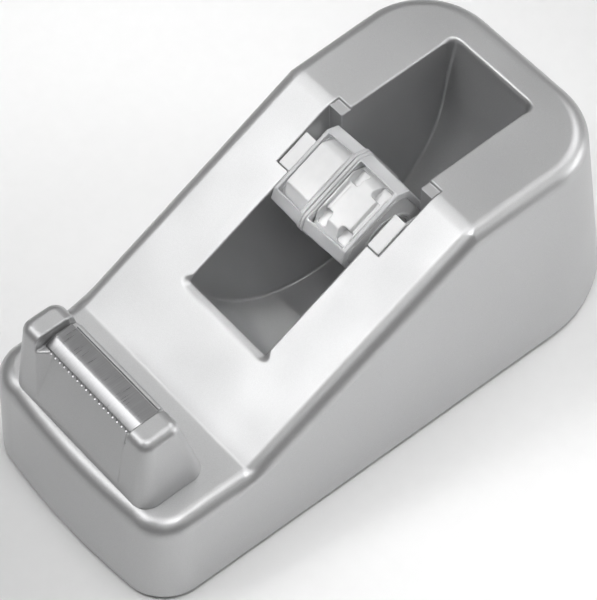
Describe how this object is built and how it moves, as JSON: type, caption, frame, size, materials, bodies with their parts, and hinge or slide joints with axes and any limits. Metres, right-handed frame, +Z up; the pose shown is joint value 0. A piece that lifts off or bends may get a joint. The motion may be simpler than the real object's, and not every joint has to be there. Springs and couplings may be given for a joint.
{
  "type": "tape dispenser",
  "caption": "Weighted desk tape dispenser with a sloping silver body, an open tape well, a clear lift-out hub for small-core rolls and a serrated steel blade on a raised front block.",
  "frame": {"origin": "centre of the footprint, on the surface the feet stand on", "axes": "+Z up, -Y towards the blade at the front, +X to the right seen from the front"},
  "size_m": [0.0566, 0.128, 0.0514],
  "materials": {
    "silver_plastic": "satin metallic silver",
    "blade_steel": "brushed",
    "clear_plastic": "clear, polished",
    "base_plastic": "fine texture",
    "ballast_iron": "as cast",
    "screw_steel": "zinc plated",
    "foot_rubber": "matt"
  },
  "bodies": {
    "housing": {"body_shell": "silver_plastic", "cutter_head": "silver_plastic", "cutter_blade": "blade_steel", "base_plate": "base_plastic", "ballast_left": "ballast_iron", "ballast_right": "ballast_iron", "base_screw_front_left": "screw_steel", "base_screw_front_right": "screw_steel", "base_screw_rear_left": "screw_steel", "base_screw_rear_right": "screw_steel", "head_screw_left": "screw_steel", "head_screw_right": "screw_steel", "rubber_foot_front_left": "foot_rubber", "rubber_foot_front_right": "foot_rubber", "rubber_foot_rear_left": "foot_rubber", "rubber_foot_rear_right": "foot_rubber"},
    "hub_carrier": {"hub_axle": "clear_plastic", "axle_lug_left": "clear_plastic", "axle_lug_right": "clear_plastic"},
    "hub_drum": {"drum_half_left": "clear_plastic", "drum_half_right": "clear_plastic"}
  },
  "joints": [
    {"name": "hub_lift_out", "type": "slide", "parent": "housing", "child": "hub_carrier", "axis": [0, 0, 1], "range_m": [0, 0.028]},
    {"name": "hub_spin", "type": "hinge", "parent": "hub_carrier", "child": "hub_drum", "pos_m": [0, 0.0088, 0.0389], "axis": [1, 0, 0], "continuous": true}
  ]
}
